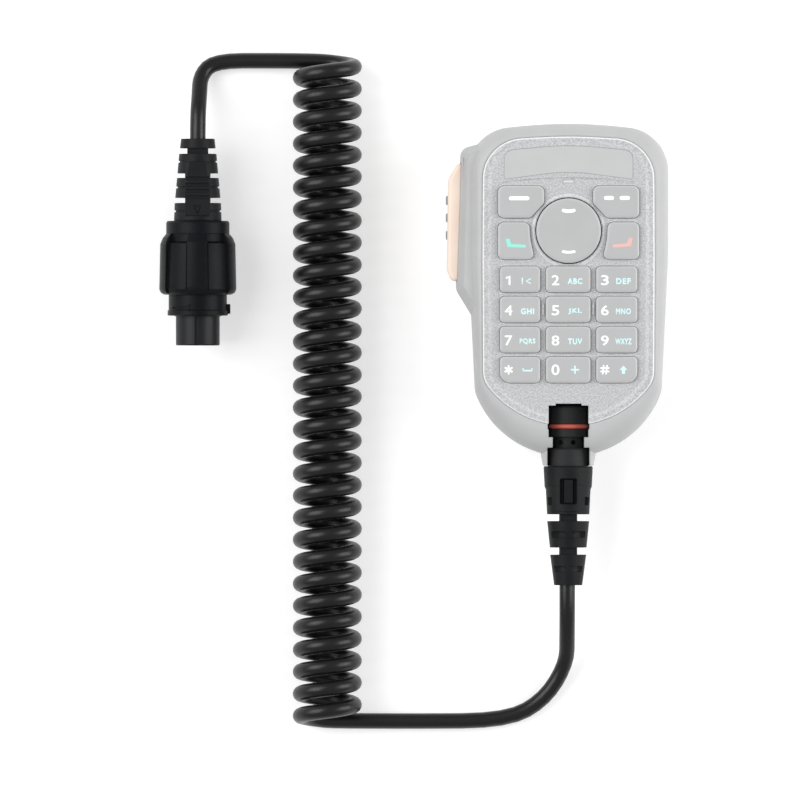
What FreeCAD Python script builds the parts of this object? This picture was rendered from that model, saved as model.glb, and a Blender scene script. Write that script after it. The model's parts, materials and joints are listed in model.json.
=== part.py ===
import FreeCAD, Part

import math
import os

from FreeCAD import Vector

# Hand microphone with keypad, curly cord and round radio plug.  Millimetres, +Z up.
# The handset lies on its back on the plane z = 0 with its keypad up and its cord end towards -Y.
# The origin is in the back rest plane, under the line that runs through the middle of the keypad.

# ---------------------------------------------------------------- handset outline
# Outlines are lists of corners (x, y, corner radius).  Straight runs join the rounded corners.
BODY_SIDE = [(20.3, -51.3, 31.0), (29.7, -31.0, 10.0), (31.8, 12.0, 150.0), (31.8, 52.3, 14.0)]
BODY_CROWN = [(0.0, 55.4, 150.0)]
PLATE_SIDE = [(15.4, -41.5, 32.0), (27.3, -27.2, 9.0), (27.45, 12.0, 150.0), (27.3, 49.2, 13.0)]
PLATE_CROWN = [(0.0, 50.8, 150.0)]
WING = [(-24.0, 48.6, 1.0), (-29.0, 48.1, 3.0), (-34.3, 46.6, 3.2),
        (-35.8, 1.9, 5.0), (-29.2, -9.0, 3.0), (-24.0, -9.0, 1.0)]
WING_TOP = [(-24.0, 46.4, 1.0), (-28.6, 46.0, 2.0), (-31.9, 44.9, 2.4),
            (-33.3, 2.8, 4.0), (-28.0, -6.0, 2.0), (-24.0, -6.0, 1.0)]

# ---------------------------------------------------------------- handset heights
SPLIT_Z = 14.0          # top of the rear shell
SEAM = 0.3              # gap between the two shells, closed by the gasket
FRONT_Z = SPLIT_Z + SEAM
SHOULDER_Z = 17.0       # the front shell's sides start to round over here
RIM_Z = 26.3            # top of the front shell's rim
LEDGE_Z = 25.0          # the face plate stands on this ledge
PLATE_Z = 26.8          # top of the face plate's border
FACE_Z = 26.5           # its slightly lower middle
DECK_Z = 23.4           # underside of the front shell's deck
KEY_TOP_Z = 28.0
NAV_TOP_Z = 28.4
BACK_ROUND = 6.0        # height of the rounded back edge
FLOOR = 2.0             # thickness of the rear shell's floor
CAVITY = 0.62           # share of the way from the body outline to the plate outline
FIT = 0.3               # gap round each moving piece
KEY_GAP = 0.12          # gap round the push keys
BOARD_Z = 19.0
BOARD = 1.6
MAT_Z = 21.4
MAT = 1.4
DOME = 0.3
FLANGE_TOP = 24.85      # key flanges wait just under the face plate
FLANGE_BOTTOM = 23.85

# ---------------------------------------------------------------- keypad
KEY_COLUMNS = [(-15.45, 12.9), (-0.15, 14.3), (15.3, 13.2)]     # centre, width
KEY_ROW_TOP = 5.05
KEY_PITCH = 9.58
KEY_HEIGHT = 8.45
KEY_CORNER = 1.5
KEY_OUTER_CORNER = 3.4
KEY_NAMES = [["key_1", "key_2", "key_3"], ["key_4", "key_5", "key_6"],
             ["key_7", "key_8", "key_9"], ["key_star", "key_0", "key_hash"]]
SOFT_KEY = [(-22.5, 24.5, 2.0), (-12.2, 24.5, 1.6), (-7.7, 29.3, 1.8), (-7.7, 34.9, 2.2), (-22.5, 34.9, 2.2)]
CALL_KEY = [(-22.5, 11.3, 2.0), (-10.7, 11.3, 1.8), (-12.1, 17.6, 14.0), (-12.5, 23.3, 2.0),
            (-22.5, 23.3, 2.0)]
NAV = Vector(0.0, 20.5, 23.0)
NAV_R = 10.3
LABEL = [(-20.5, 36.8, 0.8), (0.0, 39.6, 60.0), (20.5, 36.8, 0.8), (20.5, 46.0, 3.0),
         (0.0, 47.9, 90.0), (-20.5, 46.0, 3.0)]
MIC_SLOT = Vector(0.0, 36.2, 0.0)
CAPSULE = Vector(0.0, 40.6, 0.0)
MIC_ROOM = 5.8          # radius kept free round the capsule's boot

# ---------------------------------------------------------------- fixings and inner pieces
SHELL_SCREWS = [(22.5, 43.5), (-22.5, 43.5), (19.0, -36.0), (-19.0, -36.0)]
BOARD_SCREWS = [(26.3, 30.0), (-26.3, 30.0), (26.3, -22.0), (-26.3, -22.0)]
STUD = Vector(0.0, 2.0, 0.0)
STUD_POCKET = 5.5       # depth of the pocket that the hang-up stud stands in

# ---------------------------------------------------------------- push-to-talk button
PTT = [(-33.4, 4.6, 0.3), (-33.4, 41.8, 0.3), (-35.6, 41.8, 1.6), (-38.3, 36.8, 6.0),
       (-38.7, 8.0, 5.0), (-37.2, 4.6, 1.9)]
PTT_LOW_Z, PTT_HIGH_Z = 7.9, 20.1
PTT_RIBS = [30.3, 24.75, 19.2]
PTT_WALL_X = -33.3      # flat inner face of the wall that the button passes through

# ---------------------------------------------------------------- plug at the handset
PLUG_Z = 16.0
PLUG_CLEAR = 0.15
CONTACTS = 8
CONTACT_RING = 3.2

# ---------------------------------------------------------------- cord and radio plug
CORD_R = 2.5
COIL_X = -76.8
COIL_R = 11.05
COIL_TURNS = 30
COIL_PITCH = 7.02
COIL_START_Y = -135.8
COIL_END_Y = COIL_START_Y + COIL_TURNS * COIL_PITCH
RADIO_X, RADIO_Z = -118.1, 12.4
NOSE_R, NOSE_END_Y = 7.0, -6.6      # the nose that goes into a radio's socket
PANEL_Z = 7.7                       # flat front of the boot's ribbed panel above the axis
BARREL_R = 7.5                      # the barrel that the collar turns on
LEAD_MIC = [(-0.3, -92.3, 16.0), (-0.3, -99.5, 16.0), (-0.3, -108.4, 12.0), (-0.3, -117.4, 5.0),
            (-7.2, -129.0, 2.5), (-19.2, -135.8, 2.5), (-49.0, -136.0, 2.5), (-76.8, -135.8, 2.5)]
LEAD_RADIO = [(-76.8, 74.8, 2.5), (-94.5, 75.2, 2.5), (-112.8, 75.2, 2.5), (-117.4, 70.6, 4.0),
              (-117.7, 63.8, 8.6), (-118.1, 57.2, 12.4), (-118.1, 50.0, 12.4)]


# ================================================================ helpers
def mirrored(side, crown):
    """Whole outline from its right-hand side and the corners on its middle line."""
    return side + crown + [(-x, y, radius) for x, y, radius in reversed(side)]


def blend(first, second, share):
    """Outline part of the way from one outline to another with the same corners."""
    return [tuple(a + (b - a) * share for a, b in zip(p, q)) for p, q in zip(first, second)]


def flipped(outline):
    """The same outline on the other side of the middle line."""
    return [(-x, y, radius) for x, y, radius in reversed(outline)]


def rounded_wire(outline, z):
    """Closed wire at height z: straight runs joined by tangent arcs."""
    points = [Vector(x, y, z) for x, y, _ in outline]
    arcs = []
    for i, (_, _, radius) in enumerate(outline):
        here = points[i]
        back = (points[i - 1] - here).normalize()
        ahead = (points[(i + 1) % len(points)] - here).normalize()
        half = back.getAngle(ahead) / 2
        centre = here + (back + ahead).normalize() * (radius / math.sin(half))
        middle = centre + (here - centre).normalize() * radius
        reach = radius / math.tan(half)
        arcs.append((here + back * reach, middle, here + ahead * reach))
    edges = []
    for i, (start, middle, end) in enumerate(arcs):
        edges.append(Part.LineSegment(arcs[i - 1][2], start).toShape())
        edges.append(Part.Arc(start, middle, end).toShape())
    return Part.Wire(edges)


def prism(outline, low, high, grow=0.0):
    """Upright block over an outline, which may be grown or shrunk first."""
    wire = rounded_wire(outline, low)
    if grow:
        wire = wire.makeOffset2D(grow)
    return Part.Face(wire).extrude(Vector(0, 0, high - low))


def box(x0, x1, y0, y1, z0, z1):
    return Part.makeBox(x1 - x0, y1 - y0, z1 - z0, Vector(x0, y0, z0))


def upright(radius, x, y, z0, z1):
    return Part.makeCylinder(radius, z1 - z0, Vector(x, y, z0))


def along_y(radius, x, z, y0, y1):
    return Part.makeCylinder(radius, y1 - y0, Vector(x, y0, z), Vector(0, 1, 0))


def fuse(solids):
    return solids[0].multiFuse(solids[1:]).removeSplitter() if len(solids) > 1 else solids[0]


def top_edges(solid, z):
    return [e for e in solid.Edges if abs(e.BoundBox.ZMin - z) < 1e-4 and abs(e.BoundBox.ZMax - z) < 1e-4]


def turned(profile, x, z):
    """Solid turned about a line along Y through (x, z) from (y, radius) points."""
    points = [Vector(x, profile[0][0], z)]
    points += [Vector(x + radius, y, z) for y, radius in profile]
    points += [Vector(x, profile[-1][0], z), points[0]]
    return Part.Face(Part.makePolygon(points)).revolve(Vector(x, 0, z), Vector(0, 1, 0), 360)


def ring_places(count, radius, x, z):
    """Places spread round a circle that faces along Y."""
    for i in range(count):
        angle = 2 * math.pi * (i + 0.5) / count
        yield x + radius * math.cos(angle), z + radius * math.sin(angle)


def write(name, shape):
    """Write one sub-part, which may be a group of separate solids."""
    solids = shape if isinstance(shape, list) else [shape]
    whole = solids[0] if len(solids) == 1 else Part.makeCompound(solids)
    if not whole.isValid() or whole.Volume <= 0:
        raise ValueError(name + " is not a sound solid")
    print(name, len(whole.Solids), round(whole.Volume, 1))
    whole.exportStep(os.path.join("parts", name + ".step"))


BODY = mirrored(BODY_SIDE, BODY_CROWN)
PLATE = mirrored(PLATE_SIDE, PLATE_CROWN)
HOLLOW = blend(BODY, PLATE, CAVITY)


# ================================================================ plug stages and their bay
# where each stage of the plug begins, and its radius
PLUG_STAGES = [(-34.45, 4.0), (-35.05, 6.2), (-40.8, 6.5), (-42.6, 6.2), (-45.15, 4.85), (-48.45, 6.5),
               (-54.6, 6.5)]


def plug_bay(clear, low):
    """Room for the plug's stages, open towards the keypad side."""
    rooms = []
    for (top, radius), (bottom, _) in zip(PLUG_STAGES, PLUG_STAGES[1:]):
        wide = radius + clear
        rooms.append(along_y(wide, 0, PLUG_Z, bottom, top))
        rooms.append(box(-wide, wide, bottom, top, low, 40))
    return fuse(rooms)


def cord_sleeve():
    """Short tapered sleeve at the chin that guards the plug's collar."""
    return turned([(-54.2, 8.1), (-51.0, 8.7), (-44.0, 9.3)], 0, PLUG_Z)


def bay_tub():
    """Walls round the plug bay inside the shells."""
    return box(-8.7, 8.7, -50.0, -32.2, PLUG_Z - 8.7, 40)


# ================================================================ shells
def front_skin():
    """Outer form of the front shell, rounded over from its sides to the plate's edge."""
    sections = [rounded_wire(BODY, SHOULDER_Z)]
    steps = 5
    for i in range(1, steps + 1):
        angle = math.pi / 2 * i / steps
        height = SHOULDER_Z + (RIM_Z - SHOULDER_Z) * math.sin(angle)
        sections.append(rounded_wire(blend(BODY, PLATE, 1 - math.cos(angle)), height))
    rounded = Part.makeLoft(sections, True, False)
    wing_low = prism(WING, FRONT_Z, 20.0)
    wing_high = Part.makeLoft([rounded_wire(WING, 20.0), rounded_wire(WING_TOP, 23.8)], True, True)
    return fuse([prism(BODY, FRONT_Z, SHOULDER_Z), rounded, wing_low, wing_high])


def back_skin():
    """Outer form of the rear shell, rounded over to its flat back."""
    back = [(x * 0.86, 1.7 + (y - 1.7) * 0.91, radius * 0.86) for x, y, radius in BODY]
    steps = 4
    sections = [rounded_wire(BODY, BACK_ROUND)]
    for i in range(1, steps + 1):
        angle = math.pi / 2 * i / steps
        height = BACK_ROUND * (1 - math.sin(angle))
        sections.append(rounded_wire(blend(BODY, back, 1 - math.cos(angle)), height))
    rounded = Part.makeLoft(sections, True, False)
    wing_high = prism(WING, 7.0, SPLIT_Z)
    wing_low = Part.makeLoft([rounded_wire(WING_TOP, 2.6), rounded_wire(WING, 7.0)], True, True)
    return fuse([prism(BODY, BACK_ROUND, SPLIT_Z), rounded, wing_low, wing_high])


def ptt_opening():
    """Hole in the side wall for the button, and the flat room behind it."""
    hole = box(-40, -30, 4.6 - FIT, 41.8 + FIT, PTT_LOW_Z - FIT, PTT_HIGH_Z + FIT)
    room = box(PTT_WALL_X, -27.5, 2.8, 43.6, 6.0, 21.8)
    return hole.fuse(room)


def front_shell():
    inside = prism(HOLLOW, FRONT_Z - 1, DECK_Z)
    window = prism([(-24.0, -30.2, 3), (24.0, -30.2, 3), (24.0, 40.0, 3), (-24.0, 40.0, 3)], 20, 30)
    shell = front_skin()
    tub = fuse([bay_tub(), cord_sleeve()]).common(box(-40, 40, -60, 0, FRONT_Z, 40))
    tub = tub.common(fuse([shell, cord_sleeve()]))
    bosses = [upright(3.2, x, y, FRONT_Z, DECK_Z + 0.5) for x, y in SHELL_SCREWS]
    bosses = [boss.common(shell) for boss in bosses]
    posts = [upright(2.2, x, y, BOARD_Z + BOARD, DECK_Z + 0.5) for x, y in BOARD_SCREWS]
    shell = shell.cut(inside).cut(window).cut(ptt_opening())
    shell = fuse([shell, tub] + bosses + posts)
    shell = shell.cut(prism(PLATE, LEDGE_Z, 30, 0.03)).cut(plug_bay(PLUG_CLEAR, PLUG_Z)).cut(socket_hole())
    holes = [upright(1.45, x, y, FRONT_Z - 1, 22.6) for x, y in SHELL_SCREWS]
    holes += [upright(1.05, x, y, BOARD_Z, 22.9) for x, y in BOARD_SCREWS]
    return shell.cut(Part.makeCompound(holes))


def socket_hole():
    return along_y(5.5, 0, PLUG_Z, -36.0, -30.0)


def rear_shell():
    skin = back_skin()
    shell = skin.cut(prism(HOLLOW, FLOOR, SPLIT_Z + 1))
    pocket_walls = box(-14, 14, -12, 16, 0.5, STUD_POCKET + 2)
    columns = [upright(3.6, x, y, 0.5, SPLIT_Z) for x, y in SHELL_SCREWS]
    columns = [column.common(skin) for column in columns]
    tub = fuse([bay_tub(), cord_sleeve()]).common(box(-40, 40, -60, 0, 0, SPLIT_Z))
    tub = tub.common(fuse([skin, cord_sleeve()]))
    shell = shell.cut(ptt_opening())
    shell = fuse([shell, pocket_walls, tub] + columns)
    shell = shell.cut(box(-12, 12, -10, 14, -1, STUD_POCKET))
    shell = shell.cut(plug_bay(PLUG_CLEAR, PLUG_Z)).cut(socket_hole())
    holes = [upright(1.6, x, y, -1, SPLIT_Z + 1) for x, y in SHELL_SCREWS]
    holes += [upright(3.0, x, y, -1, 3.0) for x, y in SHELL_SCREWS]
    holes.append(upright(1.6, STUD.x, STUD.y, 0, 9))
    shell = shell.cut(Part.makeCompound(holes))
    return shell.cut(gasket_ring(0.0))


def gasket_ring(above):
    """Flat ring seated in the rear shell's rim; it stands above the rim by the given height."""
    middle = blend(BODY, PLATE, CAVITY * 0.5)
    outer = prism(middle, SPLIT_Z - 0.8, SPLIT_Z + above, 0.5)
    inner = prism(middle, SPLIT_Z - 0.8, SPLIT_Z + above, -0.5)
    ring = outer.cut(inner).cut(ptt_opening())
    return ring.cut(box(-10, 10, -60, -40, 0, 40))


# ================================================================ front face
def key_outline(column, row):
    centre, width = KEY_COLUMNS[column]
    y = KEY_ROW_TOP - KEY_PITCH * row
    x0, x1 = centre - width / 2, centre + width / 2
    y0, y1 = y - KEY_HEIGHT / 2, y + KEY_HEIGHT / 2
    left = KEY_OUTER_CORNER if row == 3 and column == 0 else KEY_CORNER
    right = KEY_OUTER_CORNER if row == 3 and column == 2 else KEY_CORNER
    return [(x0, y0, left), (x1, y0, right), (x1, y1, KEY_CORNER), (x0, y1, KEY_CORNER)]


def key_outlines():
    """Every push key's name and outline."""
    keys = {KEY_NAMES[row][column]: key_outline(column, row) for row in range(4) for column in range(3)}
    keys["soft_key_left"] = SOFT_KEY
    keys["soft_key_right"] = flipped(SOFT_KEY)
    keys["call_key"] = CALL_KEY
    keys["end_key"] = flipped(CALL_KEY)
    return keys


def key_middle(outline):
    xs = [x for x, _, _ in outline]
    ys = [y for _, y, _ in outline]
    return (min(xs) + max(xs)) / 2, (min(ys) + max(ys)) / 2


def push_key(outline):
    """Key cap with a flange under the face plate and a round foot over its dome."""
    cap = prism(outline, FLANGE_BOTTOM, KEY_TOP_Z)
    cap = cap.makeFillet(0.9, top_edges(cap, KEY_TOP_Z))
    flange = prism(outline, FLANGE_BOTTOM, FLANGE_TOP, 0.5)
    x, y = key_middle(outline)
    foot = upright(1.8, x, y, FLANGE_BOTTOM - 1.9, FLANGE_BOTTOM + 0.5)
    return fuse([cap, flange, foot])


def nav_disc():
    """Round up-and-down rocker with an ear on each side and two feet."""
    cap = upright(NAV_R, NAV.x, NAV.y, 23.4, NAV_TOP_Z)
    cap = cap.makeFillet(0.9, top_edges(cap, NAV_TOP_Z))
    dish = Part.makeSphere(150.0, Vector(NAV.x, NAV.y, NAV_TOP_Z + 149.75))
    flange = upright(11.2, NAV.x, NAV.y, 23.4, 24.2).common(box(-12, 12, NAV.y - 3, NAV.y + 3, 20, 30))
    feet = [upright(1.5, NAV.x, NAV.y + side, 21.5, 23.6) for side in (7.0, -7.0)]
    disc = fuse([cap, flange] + feet).cut(dish)
    return disc.cut(Part.makeSphere(1.6, NAV))


def nav_pivot():
    """Post with a round head that the rocker tips on."""
    post = upright(1.2, NAV.x, NAV.y, BOARD_Z + BOARD, NAV.z)
    return post.fuse(Part.makeSphere(1.55, NAV))


def face_hollow():
    """Shallow dished middle of the face plate, inside its raised border."""
    lip = rounded_wire(PLATE, PLATE_Z).makeOffset2D(-1.8)
    foot = rounded_wire(PLATE, FACE_Z).makeOffset2D(-2.9)
    slope = Part.makeLoft([lip, foot], True, True)
    return fuse([slope, Part.Face(lip).extrude(Vector(0, 0, 1))])


def arched_groove():
    """Fine groove under the label plate, struck from a far centre."""
    radius, depth, half = 156.8, 0.25, 20.9
    y = 37.2 - radius
    ring = upright(radius + 0.2, 0, y, FACE_Z - depth, 30).cut(upright(radius - 0.2, 0, y, 20, 31))
    return ring.common(box(-half, half, 30, 40, 20, 31))


def key_surround(outline):
    """Opening of the face round one key, with a sloped edge."""
    lip = rounded_wire(outline, FACE_Z + 0.1).makeOffset2D(KEY_GAP + 0.4)
    foot = rounded_wire(outline, FACE_Z - 0.3).makeOffset2D(KEY_GAP)
    return [Part.makeLoft([lip, foot], True, True), Part.Face(lip).extrude(Vector(0, 0, 4)),
            prism(outline, LEDGE_Z - 1, 30, KEY_GAP)]


def face_plate():
    plate = prism(PLATE, LEDGE_Z, PLATE_Z)
    plate = plate.makeFillet(0.8, top_edges(plate, PLATE_Z))
    bead = Part.makeCone(12.9, 11.0, FACE_Z + 0.3 - LEDGE_Z - 1, Vector(NAV.x, NAV.y, LEDGE_Z + 1))
    bars = [box(x - 0.3, x + 0.3, -6.3, -2.5, FACE_Z - 0.2, FACE_Z + 0.6) for x in (-8.15, 7.85)]
    plate = fuse([plate.cut(face_hollow()), bead] + bars)
    cuts = [cutter for outline in key_outlines().values() for cutter in key_surround(outline)]
    cuts.append(upright(NAV_R + FIT, NAV.x, NAV.y, 20, 30))
    cuts.append(prism(LABEL, FACE_Z - 0.6, 30, 0.03))
    cuts.append(arched_groove())
    cuts.append(mic_slot(0.0, LEDGE_Z - 1, 30))
    cuts.append(plug_bay(PLUG_CLEAR, PLUG_Z))
    return plate.cut(Part.makeCompound(cuts))


def mic_slot(grow, low, high):
    half, tall = 2.0, 0.5
    corners = [(-half, -tall, 0.4), (half, -tall, 0.4), (half, tall, 0.4), (-half, tall, 0.4)]
    placed = [(x + MIC_SLOT.x, y + MIC_SLOT.y, radius) for x, y, radius in corners]
    return prism(placed, low, high, grow)


def keypad_mat():
    """Silicone sheet with a room for each key's foot and for the rocker."""
    mat = prism([(-23.6, -29.6, 2), (23.6, -29.6, 2), (23.6, 36.6, 2), (-23.6, 36.6, 2)], MAT_Z, MAT_Z + MAT)
    holes = [upright(2.3, *key_middle(outline), MAT_Z - 1, 30) for outline in key_outlines().values()]
    holes.append(upright(11.6, NAV.x, NAV.y, MAT_Z - 1, 30))
    holes.append(upright(MIC_ROOM, CAPSULE.x, CAPSULE.y, MAT_Z - 1, 30))
    return mat.cut(Part.makeCompound(holes))


def keypad_board():
    corners = [(-28.2, -30.5, 2), (28.2, -30.5, 2), (28.2, 38.4, 2), (-28.2, 38.4, 2)]
    board = prism(corners, BOARD_Z, BOARD_Z + BOARD).common(prism(HOLLOW, BOARD_Z, BOARD_Z + BOARD, -0.4))
    cuts = [upright(1.05, x, y, BOARD_Z - 1, 22) for x, y in BOARD_SCREWS]
    cuts.append(box(-8.5, 8.5, -32, -27.0, BOARD_Z - 1, 22))
    cuts.append(upright(MIC_ROOM, CAPSULE.x, CAPSULE.y, BOARD_Z - 1, 22))
    return board.cut(Part.makeCompound(cuts))


def dome_switches():
    """One low metal dome under each key's foot and two under the rocker."""
    places = [key_middle(outline) for outline in key_outlines().values()]
    places += [(NAV.x, NAV.y + 7.0), (NAV.x, NAV.y - 7.0)]
    top = BOARD_Z + BOARD
    return [Part.makeCone(2.5, 1.6, DOME, Vector(x, y, top)) for x, y in places]


def label_plate():
    plate = prism(LABEL, FACE_Z - 0.6, FACE_Z - 0.05)
    return plate.makeFillet(0.2, top_edges(plate, FACE_Z - 0.05))


# ================================================================ pieces inside the handset
def mic_parts():
    """Capsule, its rubber boot and the mesh behind the slot, hung under the deck at the top."""
    x, y = CAPSULE.x, CAPSULE.y
    boot = upright(5.4, x, y, 14.6, DECK_Z).cut(upright(4.75, x, y, 15.6, DECK_Z - 1.2))
    boot = boot.cut(upright(1.5, x, y, DECK_Z - 2, DECK_Z + 1))
    capsule = upright(4.75, x, y, 15.6, 21.0)
    mesh = prism([(-2.6, 35.2, 0.4), (2.6, 35.2, 0.4), (2.6, 37.2, 0.4), (-2.6, 37.2, 0.4)],
                 LEDGE_Z - 0.35, LEDGE_Z)
    tab = mic_slot(-0.05, LEDGE_Z, FACE_Z - 0.4)
    return boot, capsule, mesh.fuse(tab)


def board_chips():
    """Control chip, memory and amplifier under the board."""
    sizes = [(-12, -8, 9, 9), (6, -10, 6, 5), (8, 10, 5, 5)]
    return [box(x, x + wide, y, y + long, BOARD_Z - 1.0, BOARD_Z) for x, y, wide, long in sizes]


def screws(places, head_r, shank_r, head_low, head_high, tip):
    """Cross-head screws with their heads down."""
    made = []
    for x, y in places:
        screw = upright(head_r, x, y, head_low, head_high).fuse(upright(shank_r, x, y, head_high - 0.1, tip))
        cross = [box(x - head_r * 0.6, x + head_r * 0.6, y - 0.3, y + 0.3, head_low - 1, head_low + 0.8)]
        cross.append(box(x - 0.3, x + 0.3, y - head_r * 0.6, y + head_r * 0.6, head_low - 1, head_low + 0.8))
        made.append(screw.cut(Part.makeCompound(cross)).removeSplitter())
    return made


def hang_up_stud():
    """Round-headed stud that hooks into a hanger clip."""
    head = upright(7.0, STUD.x, STUD.y, 0.5, 2.6)
    head = head.makeChamfer(0.6, top_edges(head, 0.5))
    return fuse([head, upright(4.0, STUD.x, STUD.y, 2.0, STUD_POCKET)]).cut(
        upright(1.55, STUD.x, STUD.y, 1.8, 9))


def stud_screw():
    shank = upright(1.5, STUD.x, STUD.y, 2.0, STUD_POCKET + 2.2)
    return fuse([upright(3.0, STUD.x, STUD.y, STUD_POCKET + 2, STUD_POCKET + 3.8), shank])


def ptt_button():
    """Long side button with a flange inside the wall and a pusher for its switch."""
    cap = prism(PTT, PTT_LOW_Z, PTT_HIGH_Z)
    rims = top_edges(cap, PTT_LOW_Z) + top_edges(cap, PTT_HIGH_Z)
    cap = cap.makeFillet(1.2, [edge for edge in rims if edge.BoundBox.XMax < PTT_WALL_X - 2.4])
    flange = box(PTT_WALL_X + 0.4, PTT_WALL_X + 1.5, 3.4, 43.0, 6.6, 21.2)
    neck = box(-33.6, PTT_WALL_X + 0.5, 5.0, 41.4, PTT_LOW_Z, PTT_HIGH_Z)
    pusher = box(PTT_WALL_X + 1.4, -31.0, 20.5, 26.5, 14.0, 18.0)
    button = fuse([cap, neck, flange, pusher])
    return button.cut(Part.makeCompound([rib_box(y, 0.02) for y in PTT_RIBS]))


def rib_box(y, grow):
    return box(-39.0, -37.6 + grow, y - 1.35 - grow, y + 1.35 + grow, 9.4 - grow, 18.6 + grow)


def ptt_grip_ribs():
    made = []
    for y in PTT_RIBS:
        rib = rib_box(y, 0.0)
        made.append(rib.makeFillet(0.35, [e for e in rib.Edges if e.BoundBox.XMax < -38.9]))
    return made


def ptt_seal():
    """Rubber frame between the wall and the button's flange."""
    frame = box(PTT_WALL_X, PTT_WALL_X + 0.35, 3.4, 43.0, 6.6, 21.2)
    return frame.cut(box(-40, -30, 4.6 - FIT, 41.8 + FIT, PTT_LOW_Z - FIT, PTT_HIGH_Z + FIT))


def ptt_switch():
    body = box(-28.6, -24.8, 19.5, 27.5, 13.0, BOARD_Z)
    return body.fuse(box(-29.2, -28.5, 22.0, 25.0, 14.6, 17.4))


def socket_body():
    body = along_y(5.4, 0, PLUG_Z, -34.4, -28.2)
    tunnels = [along_y(0.5, x, z, -35, -27) for x, z in ring_places(CONTACTS, CONTACT_RING, 0, PLUG_Z)]
    return body.cut(Part.makeCompound(tunnels))


def socket_nut():
    nut = along_y(7.6, 0, PLUG_Z, -32.2, -30.0).cut(along_y(5.45, 0, PLUG_Z, -33, -29))
    flats = [box(-9, 9, -33, -29, PLUG_Z + 6.9, PLUG_Z + 9), box(-9, 9, -33, -29, PLUG_Z - 9, PLUG_Z - 6.9)]
    return nut.cut(Part.makeCompound(flats))


def socket_pins():
    return [along_y(0.45, x, z, -38.4, -27.7) for x, z in ring_places(CONTACTS, CONTACT_RING, 0, PLUG_Z)]


def socket_ribbon():
    """Flat lead from the socket's pins up to the board."""
    low = box(-5.0, 5.0, -27.7, -27.2, PLUG_Z - 4, PLUG_Z + 4)
    high = box(-5.0, 5.0, -27.5, -21.0, BOARD_Z - 0.5, BOARD_Z)
    return fuse([low, high])


# ================================================================ plug at the handset
def mic_plug_body():
    """Nose, ring groove, flange, neck and collar of the plug."""
    profile = [(-54.35, 6.5), (-49.1, 6.5), (-48.6, 6.0), (-48.6, 4.7), (-45.0, 4.7), (-45.0, 6.1),
               (-42.46, 6.1), (-42.46, 4.95), (-40.94, 4.95), (-40.94, 6.2), (-35.7, 6.2), (-35.2, 5.8),
               (-35.2, 4.0), (-34.48, 3.8)]
    body = turned(profile, 0, PLUG_Z)
    holes = [along_y(0.55, x, z, -43.5, -34) for x, z in ring_places(CONTACTS, CONTACT_RING, 0, PLUG_Z)]
    holes += [upright(0.75, x, -46.8, PLUG_Z + 2.2, PLUG_Z + 6) for x in (-2.5, 1.6)]
    return body.cut(Part.makeCompound(holes))


def mic_plug_ring():
    return Part.makeTorus(5.7, 0.74, Vector(0, -41.7, PLUG_Z), Vector(0, 1, 0))


def mic_plug_contacts():
    return [along_y(0.5, x, z, -43.4, -38.8) for x, z in ring_places(CONTACTS, CONTACT_RING, 0, PLUG_Z)]


def side_grooves(x, z, y0, y1, radius, depth, bridge):
    """Grooves cut on both sides of a round body, leaving a bridge at its front and back."""
    ring = along_y(radius + 2, x, z, y0, y1).cut(along_y(radius - depth, x, z, y0 - 1, y1 + 1))
    return ring.cut(box(x - bridge, x + bridge, y0 - 1, y1 + 1, z - 20, z + 20))


def front_windows(x0, x1, y0, y1, floor, core):
    """Windows left and right of the middle, front and back, down to a floor or to a round core."""
    windows = []
    for side in (1, -1):
        z = sorted((PLUG_Z + side * floor, PLUG_Z + side * 9))
        windows += [box(x0, x1, y0, y1, *z), box(-x1, -x0, y0, y1, *z)]
    return fuse(windows).cut(along_y(core, 0, PLUG_Z, y0 - 1, y1 + 1))


def grip_shield():
    """Low raised field with rounded lower corners, front and back."""
    outline = [(-5.3, -68.7, 2.2), (5.3, -68.7, 2.2), (5.3, -60.5, 0.4), (-5.3, -60.5, 0.4)]
    raised = turned([(-69.0, 7.35), (-62.0, 7.7), (-60.0, 7.75)], 0, PLUG_Z)
    return raised.common(prism(outline, PLUG_Z - 9, PLUG_Z + 9))


def grip_window(side):
    """Pocket with a ridge that stands in it."""
    pocket = prism([(-2.7, -66.5, 0.6), (2.7, -66.5, 0.6), (2.7, -58.3, 0.6), (-2.7, -58.3, 0.6)], 5.6, 9.5)
    section = [Vector(-1.8, -66.0, 4.5), Vector(1.8, -66.0, 4.5), Vector(1.3, -66.0, 7.3),
               Vector(-1.3, -66.0, 7.3)]
    ridge = Part.Face(Part.makePolygon(section + [section[0]])).extrude(Vector(0, 7.3, 0))
    window = pocket.cut(ridge)
    if side < 0:
        window = window.mirror(Vector(0, 0, 0), Vector(0, 0, 1))
    window.translate(Vector(0, 0, PLUG_Z))
    return window


def mic_plug_grip():
    """Moulded grip, stepped down into a segmented strain relief."""
    profile = [(-92.3, 4.5), (-82.6, 5.75), (-82.6, 2.9), (-80.3, 2.9), (-80.3, 5.85), (-71.9, 6.7),
               (-71.9, 2.9), (-69.7, 2.9), (-69.7, 6.75), (-61.8, 7.15), (-60.9, 7.55), (-54.8, 7.85),
               (-54.4, 7.6)]
    grip = turned(profile, 0, PLUG_Z)
    necks = [box(-2.6, 2.6, -71.9, -69.7, PLUG_Z - 5.4, PLUG_Z + 5.4),
             box(-2.6, 2.6, -82.6, -80.3, PLUG_Z - 4.8, PLUG_Z + 4.8)]
    grip = fuse([grip, grip_shield()] + necks)
    cuts = [front_windows(0.9, 5.3, -77.2, -75.1, 3.2, 5.0), front_windows(0.9, 4.6, -88.1, -86.2, 2.6, 4.1),
            front_windows(5.2, 6.5, -66.8, -64.2, 2.5, 3.0)]
    cuts += [grip_window(1), grip_window(-1)]
    return grip.cut(Part.makeCompound(cuts))


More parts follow.
